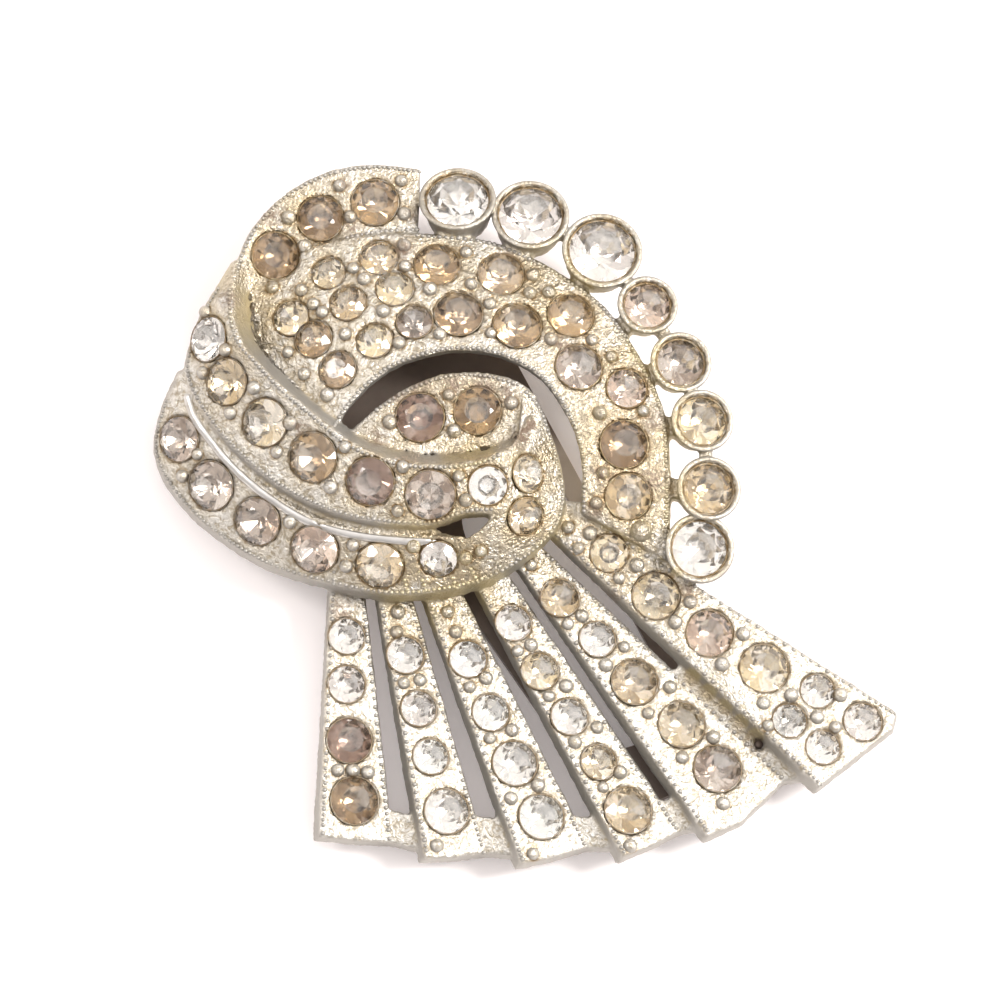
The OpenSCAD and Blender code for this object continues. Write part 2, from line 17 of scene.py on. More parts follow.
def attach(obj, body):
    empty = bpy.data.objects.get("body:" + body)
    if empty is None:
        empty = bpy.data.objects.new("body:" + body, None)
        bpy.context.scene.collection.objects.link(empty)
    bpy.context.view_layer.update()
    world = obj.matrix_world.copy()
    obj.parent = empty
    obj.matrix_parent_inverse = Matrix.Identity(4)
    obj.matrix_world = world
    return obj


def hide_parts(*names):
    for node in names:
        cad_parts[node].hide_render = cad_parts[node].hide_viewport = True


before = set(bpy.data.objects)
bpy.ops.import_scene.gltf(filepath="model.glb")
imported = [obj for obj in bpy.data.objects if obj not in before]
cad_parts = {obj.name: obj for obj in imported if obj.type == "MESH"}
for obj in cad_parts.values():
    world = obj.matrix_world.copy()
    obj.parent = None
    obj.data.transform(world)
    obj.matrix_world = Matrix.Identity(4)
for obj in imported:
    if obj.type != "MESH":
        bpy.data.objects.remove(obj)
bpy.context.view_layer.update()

MM = 0.001
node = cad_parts
chance = random.Random(1936)

# %% [markdown]
# An operator works on whatever is selected, and the loaded nodes are all selected.
# One helper clears that and picks a single piece, and another opens a piece for editing
# with all its corners selected. To strew a small shape, each copy gets a mesh of its
# own, set in its place, and the copies are joined into one piece.

# %% Helpers for selecting, editing, copying and joining
def pick(piece):
    bpy.ops.object.select_all(action="DESELECT")
    piece.select_set(True)
    bpy.context.view_layer.objects.active = piece


def open_edit(piece):
    pick(piece)
    bpy.ops.object.mode_set(mode="EDIT")
    bpy.ops.mesh.select_all(action="SELECT")


def close_edit():
    bpy.ops.object.mode_set(mode="OBJECT")


def bake_place(piece):
    pick(piece)
    bpy.ops.object.transform_apply(location=True, rotation=True, scale=True)


def join(pieces, name):
    bpy.ops.object.select_all(action="DESELECT")
    for piece in pieces:
        piece.select_set(True)
    bpy.context.view_layer.objects.active = pieces[0]
    if len(pieces) > 1:
        bpy.ops.object.join()
    joined = bpy.context.view_layer.objects.active
    joined.name = name
    return joined


def strew(pattern, places, name):
    copies = []
    for place in places:
        copy = bpy.data.objects.new(name, pattern.data.copy())
        copy.data.transform(place)
        bpy.context.collection.objects.link(copy)
        copies.append(copy)
    return join(copies, name)


def apply_modifier(piece, kind, **settings):
    pick(piece)
    modifier = piece.modifiers.new(kind.lower(), kind)
    for key, value in settings.items():
        setattr(modifier, key, value)
    bpy.ops.object.modifier_apply(modifier=modifier.name)


def triangles(piece):
    return sum(len(face.vertices) - 2 for face in piece.data.polygons)


# %% [markdown]
# Small things such as beads are charted as they are seen from above, and then dropped
# onto the metal. The chart has 1000 steps a side, 0.075 mm each, and looks down at 78
# degrees on a clip that is turned by 22 degrees. A ray along the line of sight finds
# the surface, so each small thing sits on the metal and not in front of it.

# %% Line of sight
STEP = 0.075 * MM
TURN, TILT = math.radians(22), math.radians(78)
MIDDLE = Vector((2.05, 0.05, 0)) * MM
MIDDLE_U, MIDDLE_V = 520, 515
across = Vector((math.cos(TURN), -math.sin(TURN), 0))
along = Vector((math.sin(TURN), math.cos(TURN), 0))
upward = along * math.sin(TILT) + Vector((0, 0, math.cos(TILT)))
toward = -along * math.cos(TILT) + Vector((0, 0, math.sin(TILT)))
print("the line of sight comes from", [round(x, 3) for x in toward])


def sighted(u, v, near=0.0):
    level = MIDDLE + across * (u - MIDDLE_U) * STEP
    return level + upward * (MIDDLE_V - v) * STEP + toward * near


def chart(point):
    p = point - MIDDLE
    return MIDDLE_U + p.dot(across) / STEP, MIDDLE_V - p.dot(upward) / STEP


def drop(tree, u, v):
    spot, normal, _, _ = tree.ray_cast(sighted(u, v, 0.1), -toward)
    return spot, normal


def standing(spot, normal, size=1.0, twist=0.0):
    turn = normal.to_track_quat("Z", "Y").to_matrix().to_4x4()
    return Matrix.Translation(spot) @ turn @ Matrix.Rotation(twist, 4, "Z") @ Matrix.Scale(size, 4)


# %% [markdown]
# ## The casting's skin
# The real casting is white metal poured in a mould: no edge is razor sharp, and the
# faces are never quite flat. It could be sculpted by hand, but a voxel remesh of the
# solid gives even faces first, smoothing rounds the edges, and a displacement with
# cloud noise makes the slow swells and the grain. Last, Decimate spends the faces
# where the shape turns.

# %% Skin of the casting
VOXEL = 0.17 * MM
SKIN_TRIANGLES = 188000
SWELL_SIZE, SWELL_HEIGHT = 2.2 * MM, 0.1 * MM
GRAIN_SIZE, GRAIN_HEIGHT = 0.42 * MM, 0.13 * MM

skin = bpy.data.objects.new("casting_skin", node["casting"].data.copy())
bpy.context.collection.objects.link(skin)
open_edit(skin)
bpy.ops.mesh.remove_doubles(threshold=1e-7)
close_edit()
apply_modifier(skin, "REMESH", mode="VOXEL", voxel_size=VOXEL, use_smooth_shade=True)
print("remeshed:", triangles(skin))
apply_modifier(skin, "SMOOTH", factor=0.5, iterations=2)

swell = bpy.data.textures.new("slow swells", "CLOUDS")
swell.noise_scale, swell.noise_depth = SWELL_SIZE, 1
grain = bpy.data.textures.new("cast grain", "CLOUDS")
grain.noise_scale, grain.noise_depth = GRAIN_SIZE, 2
for clouds, height in ((swell, SWELL_HEIGHT), (grain, GRAIN_HEIGHT)):
    apply_modifier(skin, "DISPLACE", texture=clouds, texture_coords="LOCAL", strength=height, mid_level=0.5)
apply_modifier(skin, "DECIMATE", ratio=min(1.0, SKIN_TRIANGLES / triangles(skin)))

# %% [markdown]
# ## Dents
# The real clip has a scratch at the end of the pointed oval, a pit where the widest
# slat gap ends and two soft knocks on the top band. They could be pressed in with a
# sculpting brush. Here each is a short line on the chart, with its width and its depth
# in millimetres, and the skin sinks in along it.

# %% Press the dents in
DENTS = [
    ((532, 421), (523, 438), 3.6, 0.55), ((748, 737), (762, 749), 4.0, 0.3),
    ((352, 226), (362, 233), 3.0, 0.2), ((272, 214), (282, 207), 4.0, 0.2),
]
DENT_REACH, FACING_UP = 2.5, 0.2

pressed = 0
for vert in skin.data.vertices:
    if vert.normal.z < FACING_UP:
        continue
    here = Vector(chart(vert.co))
    for start, end, wide, deep in DENTS:
        run = Vector(end) - Vector(start)
        share = min(max((here - Vector(start)).dot(run) / run.dot(run), 0), 1)
        off = (here - Vector(start) - run * share).length / wide
        if off < DENT_REACH:
            vert.co -= vert.normal * deep * MM * math.exp(-off * off)
            pressed += 1
print("corners pressed in:", pressed)

# %% The finished skin takes the casting's place
pick(skin)
bpy.ops.object.shade_smooth()
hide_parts("casting")
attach(skin, "root")
print("skin:", triangles(skin), "triangles")
corners, faces = [v.co for v in skin.data.vertices], [p.vertices[:] for p in skin.data.polygons]
surface = BVHTree.FromPolygons(corners, faces)

# %% [markdown]
# ## Where the stones are
# Each solid stone tells its own place: its point is the corner that stands furthest from
# any other, its axis runs from there to the middle of its other corners, and its girdle
# is the widest ring round that axis. The stones of a node are sorted by place, so that
# the seeded chance deals each one the same turn and glints on every run.

# %% Read the stones' places
WELD = 1e-7
NEAR_GIRDLE = 0.9


def stones_of(name):
    mesh = bmesh.new()
    mesh.from_mesh(node[name].data)
    bmesh.ops.remove_doubles(mesh, verts=mesh.verts, dist=WELD)
    left, found = set(mesh.verts), []
    for first in mesh.verts:
        if first not in left:
            continue
        left.discard(first)
        group, queue = [], [first]
        while queue:
            vert = queue.pop()
            group.append(vert)
            for edge in vert.link_edges:
                other = edge.other_vert(vert)
                if other in left:
                    left.discard(other)
                    queue.append(other)
        point = max(group, key=lambda vert: min((vert.co - other.co).length
                                                for other in group if other is not vert))
        others = [vert.co for vert in group if vert is not point]
        axis = (sum(others, Vector()) / len(others) - point.co).normalized()
        away = [(co - point.co - axis * (co - point.co).dot(axis)).length for co in others]
        wide = max(away)
        ring = [(co - point.co).dot(axis) for co, reach in zip(others, away) if reach > wide * NEAR_GIRDLE]
        middle = point.co + axis * (sum(ring) / len(ring))
        found.append({"at": middle, "axis": axis, "wide": 2 * wide, "node": name})
    mesh.free()
    return sorted(found, key=lambda stone: tuple(stone["at"]))


stone_nodes = sorted(name for name in node if "stone" in name)
stones = [stone for name in stone_nodes for stone in stones_of(name)]
for stone in stones:
    stone["u"], stone["v"] = chart(stone["at"])
print("stones:", len(stones), "from", round(min(s["wide"] for s in stones) / MM, 2),
      "to", round(max(s["wide"] for s in stones) / MM, 2), "mm")

# %% [markdown]
# ## Grain beads
# Between the stones the metal is raised into round grains, the tips that would be
# pushed over a stone in hand setting and that are cast here. One low dome is modelled,
# a ball with its lower half cut away, and a copy is dropped at each charted place.

# %% Model one grain and set them all
GRAIN_SPOTS = [
    (339, 185), (401, 180), (404, 213), (350, 216), (288, 217), (304, 246), (272, 287), (353, 268),
    (404, 245), (405, 266), (364, 279), (430, 289), (301, 290), (313, 304), (322, 312), (383, 311),
    (345, 334), (466, 252), (471, 284), (490, 304), (491, 333), (551, 339), (533, 275), (549, 292),
    (530, 293), (592, 340), (611, 357), (399, 343), (440, 334), (288, 352), (304, 374), (327, 395),
    (205, 312), (225, 350), (203, 373), (254, 388), (230, 413), (290, 423), (277, 452), (345, 447),
    (331, 487), (403, 467), (398, 511), (459, 476), (466, 500), (390, 422), (449, 395), (454, 431),
    (511, 403), (182, 476), (197, 454), (290, 522), (353, 545), (346, 566), (414, 546), (466, 558),
    (481, 551), (603, 473), (643, 411), (600, 413), (596, 503), (637, 565), (619, 578), (590, 533),
    (578, 548), (568, 527), (690, 602), (675, 622), (743, 634), (722, 664), (791, 695), (840, 695),
    (817, 717), (835, 727), (763, 703), (768, 725), (670, 687), (682, 757), (723, 803), (648, 713),
    (713, 737), (582, 616), (568, 624), (606, 665), (624, 647), (531, 565), (531, 645), (518, 651),
    (566, 686), (549, 696), (575, 742), (597, 727), (620, 772), (603, 787), (630, 845), (512, 730),
    (490, 738), (538, 785), (511, 798), (533, 853), (448, 612), (456, 632), (486, 678), (470, 687),
    (398, 612), (397, 632), (404, 683), (420, 680), (437, 845), (338, 770), (368, 772), (353, 770),
]
BIG_GRAIN = (641, 531)
GRAIN_R = 0.53 * MM
BIG_GRAIN_SHARE = 1.6
GRAIN_CUT, GRAIN_SUNK = -0.3, 0.1


def dome(segments, rings, cut):
    bpy.ops.mesh.primitive_uv_sphere_add(segments=segments, ring_count=rings, radius=1.0)
    ball = bpy.context.object
    open_edit(ball)
    bpy.ops.mesh.bisect(plane_co=(0, 0, cut), plane_no=(0, 0, 1), clear_inner=True, use_fill=True)
    close_edit()
    bpy.ops.object.shade_smooth()
    return ball


grain_places = []
for u, v in GRAIN_SPOTS + [BIG_GRAIN]:
    spot, normal = drop(surface, u, v)
    if spot is None:
        continue
    size = GRAIN_R * (BIG_GRAIN_SHARE if (u, v) == BIG_GRAIN else chance.uniform(0.88, 1.12))
    grain_places.append(standing(spot - normal * size * GRAIN_SUNK, normal, size, chance.uniform(0, 6)))
grain_shape = dome(10, 8, GRAIN_CUT)
grains = strew(grain_shape, grain_places, "grain_beads")
bpy.data.objects.remove(grain_shape)
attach(grains, "root")
print("grains:", len(grain_places), "triangles:", triangles(grains))

# %% [markdown]
# ## Beaded edges
# The edges are finished with rows of tiny beads, cut in the master with a knurling
# wheel. Each edge is charted with the edge across from it, so a row can run a fixed
# way inside. A curve through the charted points is walked in small steps on the metal,
# and a bead is set each time the walk has gone one pitch.

# %% Chart of the edges
LOOP_IN = [(337, 428), (347, 411), (363, 392), (388, 371), (419, 358), (451, 351), (485, 352),
           (515, 362), (540, 378), (559, 402), (573, 430), (581, 462), (581, 492), (581, 512)]
LOOP_OUT = [(247, 350), (243, 318), (252, 288), (291, 256), (345, 238), (416, 232), (491, 240),
            (556, 270), (607, 308), (643, 362), (664, 412), (669, 464), (669, 515), (667, 560)]
TOP_IN = [(417, 240), (381, 242), (348, 248), (312, 258), (289, 271), (271, 290), (259, 310)]
TOP_OUT = [(420, 168), (375, 163), (329, 170), (291, 188), (261, 215), (244, 242), (235, 270)]
OVAL_IN = [(375, 443), (400, 448), (431, 452), (460, 452), (487, 447), (511, 438)]
OVAL_OUT = [(377, 407), (403, 390), (431, 378), (459, 372), (491, 374), (519, 382)]
LOWER_IN = [(192, 392), (200, 415), (219, 442), (244, 470), (279, 498), (319, 520), (360, 530),
            (400, 534), (439, 536), (467, 536), (483, 527), (493, 512), (500, 495), (505, 475),
            (508, 458), (512, 446), (519, 434)]
LOWER_OUT = [(163, 402), (153, 438), (157, 466), (179, 500), (215, 534), (268, 566), (325, 583),
             (385, 595), (439, 592), (487, 580), (527, 558), (556, 530), (565, 500), (561, 466),
             (551, 432), (541, 406), (524, 386)]
FRONT_IN = [(232, 290), (233, 318), (241, 342), (259, 363), (285, 390), (319, 418), (349, 442),
            (385, 458), (420, 464), (452, 464), (480, 460), (503, 451)]
FRONT_OUT = [(215, 288), (200, 314), (188, 348), (185, 375), (200, 408), (232, 448), (281, 488),
             (337, 514), (392, 524), (433, 524), (464, 514), (492, 512)]
SLATS = [
    [(331, 572), (363, 572), (393, 842), (320, 836)],
    [(373, 572), (405, 572), (487, 852), (425, 858)],
    [(416, 572), (451, 570), (589, 846), (521, 863)],
    [(468, 570), (500, 562), (681, 830), (623, 856)],
    [(512, 556), (539, 543), (787, 778), (707, 835)],
    [(551, 532), (605, 527), (897, 712), (819, 786)],
]
BEAD_FACES_UP = 0.3
print("slats charted:", len(SLATS))


def inside(edge, other, way):
    moved = []
    for (u, v), (x, y) in zip(edge, other):
        length = math.hypot(x - u, y - v)
        moved.append((u + (x - u) * way / length, v + (y - v) * way / length))
    return moved


def flowing(points, parts=40):
    line = []
    for k in range(len(points) - 1):
        a, b, c, d = (Vector(points[min(max(k + j, 0), len(points) - 1)]) for j in (-1, 0, 1, 2))
        for i in range(parts):
            t = i / parts
            line.append(0.5 * (2 * b + (c - a) * t + (2 * a - 5 * b + 4 * c - d) * t * t
                               + (3 * b - a - 3 * c + d) * t ** 3))
    return line + [Vector(points[-1])]


def walk(points, pitch, jump=0.9 * MM):
    places, last, gone = [], None, pitch
    for u, v in flowing(points):
        spot, normal = drop(surface, u, v)
        if spot is None:
            last = None
            continue
        step = (spot - last).length if last else 0
        last = spot
        if step > jump:
            gone = pitch
            continue
        gone += step
        if gone >= pitch and normal.z > BEAD_FACES_UP:
            gone = 0
            places.append((spot, normal))
    return places


# %% Set the beaded edges
EDGE_BEAD, EDGE_PITCH, EDGE_WAY = 0.19 * MM, 0.35 * MM, 3.0
EDGE_CUT, EDGE_SUNK = -0.35, 0.2
TOP_LEDGE = 8

edge_runs = [
    inside(LOOP_IN, LOOP_OUT, EDGE_WAY), inside(LOOP_OUT[5:], LOOP_IN[5:], EDGE_WAY),
    inside(TOP_OUT, TOP_IN, EDGE_WAY), inside(TOP_IN[:3], TOP_OUT[:3], EDGE_WAY + TOP_LEDGE),
    inside(OVAL_OUT, OVAL_IN, EDGE_WAY), inside(LOWER_OUT, LOWER_IN, EDGE_WAY),
    inside(FRONT_IN, FRONT_OUT, EDGE_WAY), inside(FRONT_OUT, FRONT_IN, EDGE_WAY),
]
for left_top, right_top, right_end, left_end in SLATS:
    edge_runs.append(inside([right_top, right_end], [left_top, left_end], EDGE_WAY))
    edge_runs.append(inside([left_top, left_end], [right_top, right_end], EDGE_WAY))

edge_places = []
for run in edge_runs:
    for spot, normal in walk(run, EDGE_PITCH):
        size = EDGE_BEAD * chance.uniform(0.8, 1.15)
        edge_places.append(standing(spot - normal * size * EDGE_SUNK, normal, size, chance.uniform(0, 6)))
edge_shape = dome(7, 4, EDGE_CUT)
edge_beads = strew(edge_shape, edge_places, "beaded_edges")
bpy.data.objects.remove(edge_shape)
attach(edge_beads, "root")
print("edge beads:", len(edge_places), "triangles:", triangles(edge_beads))

# %% [markdown]
# ## Lips round the stones
# Every stone is held by a thin turned-over lip, thicker on the cups. A lip is a torus
# round the stone's own axis, lightly flattened. It could be part of the skin, but the
# remesh would blur it, so it is laid on top.

# %% Lips
PAVE_LIP = {"out": 0.03, "thick": 0.07, "lift": 0.03, "parts": 24}
CUP_RIM = {"out": 0.35, "thick": 0.21, "lift": 0.3, "parts": 44}
CUP_LIP = {"out": 0.04, "thick": 0.1, "lift": 0.08, "parts": 36}
LIP_FLAT = 0.8


def lip_for(stone, out, thick, lift, parts):
    bpy.ops.object.select_all(action="DESELECT")
    bpy.ops.mesh.primitive_torus_add(major_segments=parts, minor_segments=8 if parts > 30 else 6,
                                     major_radius=stone["wide"] / 2 + out * MM, minor_radius=thick * MM)
    ring = bpy.context.object
    ring.data.transform(Matrix.Scale(LIP_FLAT, 4, (0, 0, 1)))
    seat = stone["at"] + stone["axis"] * lift * MM
    ring.data.transform(standing(seat, stone["axis"], 1, chance.uniform(0, 6)))
    return ring


in_cups = [stone for stone in stones if stone["node"].startswith("rim_stone")]
in_bands = [stone for stone in stones if not stone["node"].startswith("rim_stone")]
rings = [lip_for(stone, **PAVE_LIP) for stone in in_bands]
rings += [lip_for(stone, **CUP_RIM) for stone in in_cups]
rings += [lip_for(stone, **CUP_LIP) for stone in in_cups]
lips = join(rings, "stone_lips")
bake_place(lips)
bpy.ops.object.shade_smooth()
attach(lips, "root")
print("lips:", len(rings), "triangles:", triangles(lips))

# %% [markdown]
# ## The polished rim
# The lower band ends in a smooth raised rim, the one part that was buffed bright. It
# could be swept in the solid, but it is only half a millimetre high. A cylinder is
# stretched along the charted edge instead: each of its rings is moved to its own point
# on the metal and turned to follow the edge.

# %% Rim
RIM_R = 0.33 * MM
RIM_WAY, RIM_SPOTS = 6.5, 9
RIM_HIGH, RIM_SUNK, RIM_TIP = 0.5, 0.02 * MM, 0.35

rim_line = [drop(surface, u, v) for u, v in flowing(inside(LOWER_IN, LOWER_OUT, RIM_WAY)[:RIM_SPOTS], 8)]
rim_line = [(spot, normal) for spot, normal in rim_line if spot is not None]
last = len(rim_line) - 1
bpy.ops.object.select_all(action="DESELECT")
bpy.ops.mesh.primitive_cylinder_add(vertices=10, radius=1.0, depth=float(last))
rim = bpy.context.object
rim.name = "polished_rim"
open_edit(rim)
for k in range(1, last):
    bpy.ops.mesh.select_all(action="SELECT")
    bpy.ops.mesh.bisect(plane_co=(0, 0, k - last / 2), plane_no=(0, 0, 1))
close_edit()
for vert in rim.data.vertices:
    k = min(max(round(vert.co.z + last / 2), 0), last)
    spot, normal = rim_line[k]
    ahead = (rim_line[min(k + 1, last)][0] - rim_line[max(k - 1, 0)][0]).normalized()
    beside = ahead.cross(normal).normalized()
    slim = RIM_TIP if k in (0, last) else 1.0
    rise = vert.co.y * RIM_HIGH * RIM_R * slim - RIM_SUNK
    vert.co = spot + beside * vert.co.x * RIM_R * slim + normal * rise
open_edit(rim)
bpy.ops.mesh.normals_make_consistent(inside=False)
close_edit()
bpy.ops.object.shade_smooth()
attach(rim, "root")
print("rim:", len(rim_line), "rings,", triangles(rim), "triangles")

# %% [markdown]
# ## The cut stones
# Glass stones of this kind are cut like a brilliant: an eight-sided table, eight stars,
# eight mains and sixteen break facets above the girdle, and mains and breaks below. The
# cutter grinds flat after flat off a round blank, and bisect does the same: each call
# takes away all that lies outside one plane. One stone is cut at unit width, and copies
# are set in the places of the solid stones.

# %% Cut one stone
CROWN, GIRDLE, PAVILION = 0.17, 0.035, 0.36
TABLE_IN = 0.28
MAIN_LEAN, BREAK_LEAN, STAR_LEAN = 37.7, 42, 24
LOWER_MAIN_LEAN, LOWER_BREAK_LEAN = 180 - 36.2, 180 - 38.5


def grind(turn_deg, lean_deg, reach, height):
    turn, lean = math.radians(turn_deg), math.radians(lean_deg)
    flat = Vector((math.cos(turn) * math.sin(lean), math.sin(turn) * math.sin(lean), math.cos(lean)))
    bpy.ops.mesh.select_all(action="SELECT")
    bpy.ops.mesh.bisect(
        plane_co=(math.cos(turn) * reach, math.sin(turn) * reach, height),
        plane_no=flat, clear_outer=True, use_fill=True)


bpy.ops.object.select_all(action="DESELECT")
bpy.ops.mesh.primitive_cylinder_add(vertices=32, radius=0.5, depth=CROWN + PAVILION + GIRDLE,
                                    location=(0, 0, (CROWN - PAVILION) / 2))
brilliant = bpy.context.object
bake_place(brilliant)
open_edit(brilliant)
for k in range(8):
    grind(45 * k, MAIN_LEAN, 0.5, GIRDLE / 2)
    grind(45 * k, LOWER_MAIN_LEAN, 0.5, -GIRDLE / 2)
for k in range(16):
    grind(22.5 * k + 11.25, BREAK_LEAN, 0.497, GIRDLE / 2)
    grind(22.5 * k + 11.25, LOWER_BREAK_LEAN, 0.499, -GIRDLE / 2)
for k in range(8):
    grind(45 * k + 22.5, STAR_LEAN, TABLE_IN * 0.98, GIRDLE / 2 + CROWN)
grind(0, 0, 0, GIRDLE / 2 + CROWN)
bpy.ops.mesh.select_all(action="SELECT")
bpy.ops.mesh.remove_doubles(threshold=1e-4)
bpy.ops.mesh.normals_make_consistent(inside=False)
close_edit()
print("facets on a stone:", len(brilliant.data.polygons))

# %% [markdown]
# ## How each stone has aged
# Behind each stone is a foil. Where damp has got in, the foil turns grey, amber or a
# dull brown, and the stone dies. Each stone is charted with the state of its foil. A
# state is a colour and a haze, kept on the stone's mesh as attributes, so that one
# finish serves them all.

# %% Foil states and their chart
FOIL = {
    "blazing": ((1.00, 0.985, 0.96), 0.0),
    "bright": ((0.98, 0.955, 0.93), 0.03),
    "cream": ((0.97, 0.88, 0.70), 0.05),
    "rosy": ((0.88, 0.77, 0.68), 0.09),
    "champagne": ((0.85, 0.74, 0.56), 0.14),
    "grey": ((0.64, 0.56, 0.49), 0.12),
    "amber": ((0.72, 0.585, 0.41), 0.2),
    "dull": ((0.62, 0.50, 0.36), 0.24),
    "dead": ((0.47, 0.355, 0.295), 0.20),
}
FOIL_CHART = {
    "blazing": [(700, 548), (431, 756), (447, 811), (491, 712), (515, 763), (405, 655), (468, 659),
                (488, 486), (597, 639), (541, 816), (823, 747), (347, 636), (457, 198), (817, 691),
                (789, 720)],
    "bright": [(531, 214), (603, 250), (439, 559), (347, 684), (419, 708), (513, 623), (569, 716),
               (863, 722), (208, 339)],
    "cream": [(764, 668), (395, 288), (328, 272), (291, 318), (265, 423), (528, 474), (375, 340),
              (599, 762), (656, 596), (609, 554), (703, 420), (540, 671), (681, 724)],
    "rosy": [(315, 550), (648, 304), (709, 634), (627, 388)],
    "champagne": [(379, 256), (560, 598), (348, 303), (628, 810), (635, 682), (525, 516),
                  (628, 496), (227, 382), (709, 488), (380, 566)],
    "grey": [(579, 367), (681, 362), (431, 495), (257, 522), (717, 768), (211, 486), (415, 322),
             (179, 439)],
    "amber": [(375, 202), (517, 326), (313, 458), (477, 411), (437, 264), (501, 274), (571, 315),
              (313, 339)],
    "dull": [(320, 218), (275, 255), (355, 800), (459, 314), (624, 444), (337, 370)],
    "dead": [(349, 740), (420, 418), (371, 482)],
}
DARK_HEART = [(656, 596), (789, 720), (415, 322)]
HEART_NEAR = 6


def foil_at(u, v):
    near = min(((x - u) ** 2 + (y - v) ** 2, state)
               for state, spots in FOIL_CHART.items() for x, y in spots)
    heart = any((x - u) ** 2 + (y - v) ** 2 < HEART_NEAR ** 2 for x, y in DARK_HEART)
    return FOIL[near[1]] + (heart,)


print("charted:", {state: len(spots) for state, spots in FOIL_CHART.items()})

# %% Set the stones
HEART_DEEP, HEART_DIM = 0.3, 0.4
FOIL_BELOW = -0.2
glass = bpy.data.materials.new("stone glass")
foil = bpy.data.materials.new("stone foil")


def set_stone(stone, name):
    gem = bpy.data.objects.new(name, brilliant.data.copy())
    bpy.context.collection.objects.link(gem)
    gem.data.transform(standing(stone["at"], stone["axis"], stone["wide"], chance.uniform(0, 6)))
    colour, haze, heart = foil_at(stone["u"], stone["v"])
    shade = chance.uniform(0.94, 1.04)
    gem.data.attributes.new("foil", "FLOAT_COLOR", "POINT")
    gem.data.attributes.new("haze", "FLOAT", "POINT")
    gem.data.attributes.new("glint", "FLOAT", "FACE")
    for i, vert in enumerate(gem.data.vertices):
        deep = -(vert.co - stone["at"]).dot(stone["axis"]) / stone["wide"]
        kept = HEART_DIM if heart and deep > HEART_DEEP else 1.0
        gem.data.attributes["foil"].data[i].color = (*[min(1.0, c * shade * kept) for c in colour], 1)
        gem.data.attributes["haze"].data[i].value = haze
    gem.data.materials.append(glass)
    gem.data.materials.append(foil)
    # Each facet gets a random glint value, from which the foil finish paints glints and dark reflections.
    for i, face in enumerate(gem.data.polygons):
        gem.data.attributes["glint"].data[i].value = chance.uniform(0, 1)
        face.material_index = 1 if face.normal.dot(stone["axis"]) < FOIL_BELOW else 0
        face.use_smooth = False
    return gem


for name in stone_nodes:
    cut = [set_stone(stone, name + "_cut") for stone in stones if stone["node"] == name]
    gem = join(cut, name + "_cut")
    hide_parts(name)
    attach(gem, "root")
bpy.data.objects.remove(brilliant)

# %% [markdown]
# ## Painted shade in the casting hole
# The widest slat gap ends in a small hole that the metal never filled. A small dark ball,
# pressed flat and sunk below the surface, closes it and paints the shade in the hole.

# %% Fill the hole
PLUG_WIDE, PLUG_HIGH, PLUG_SUNK = 0.55 * MM, 0.3 * MM, 0.75 * MM

rim_of_hole, normal = drop(surface, 762, 749)
sight = sighted(757, 743)
spot = sight - toward * (sight - rim_of_hole).dot(toward)
bpy.ops.object.select_all(action="DESELECT")
# The dark ball stands in for the shade in the hole.
bpy.ops.mesh.primitive_uv_sphere_add(segments=16, ring_count=10, radius=1.0)
shade_plug = bpy.context.object
shade_plug.name = "hole_shade_plug"
shade_plug.data.transform(Matrix.Diagonal((PLUG_WIDE, PLUG_WIDE, PLUG_HIGH, 1)))
shade_plug.data.transform(Matrix.Translation(spot - toward * PLUG_SUNK))
bpy.ops.object.shade_smooth()
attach(shade_plug, "root")
print("dirt at", [round(c / MM, 2) for c in spot])

# %% [markdown]
# ## Wear and stain, kept on the skin
# Damp leaves a yellow-brown film round each stone and in every hollow, and it lies
# thicker on the loop than on the slats. The film could be painted by hand, but numbers
# do it evenly: one attribute says how near a stone is, one how hollow the surface is,
# one how steep, and two how tarnished and how rusty that part of the clip is. The rust
# layer also carries painted shade in the scratch at the end of the pointed oval. Each
# stain is charted with its place, its size and its strength.

# %% Chart of tarnish and rust
TARNISH = [
    (255, 300, 55, 1.0), (290, 220, 50, 0.9), (350, 290, 60, 0.45), (400, 200, 45, 0.6),
    (440, 250, 60, 0.6), (560, 290, 60, 1.0), (625, 450, 60, 1.3), (450, 400, 60, 0.9),
    (300, 400, 60, 0.35), (390, 470, 60, 0.7), (190, 420, 50, 0.35), (300, 520, 70, 0.3),
    (440, 565, 60, 1.4), (600, 560, 50, 0.5), (680, 560, 50, 0.5), (700, 650, 60, 0.3),
    (540, 470, 45, 1.0), (530, 520, 40, 1.2), (630, 380, 50, 1.3), (640, 500, 45, 1.3),
    (470, 455, 28, 1.2),
    (457, 198, 38, 0.8), (531, 214, 38, 0.8), (603, 250, 38, 0.9), (648, 304, 28, 0.8),
    (681, 362, 28, 0.7), (703, 420, 28, 0.7), (709, 488, 28, 0.6), (700, 548, 34, 0.9),
    (605, 527, 6, 1.2), (622, 538, 6, 1.2), (640, 549, 6, 1.2), (658, 561, 6, 1.2),
    (676, 573, 6, 1.2), (692, 676, 8, 1.3), (708, 692, 8, 1.3), (724, 707, 8, 1.3),
    (740, 722, 8, 1.3), (755, 736, 8, 1.3),
]
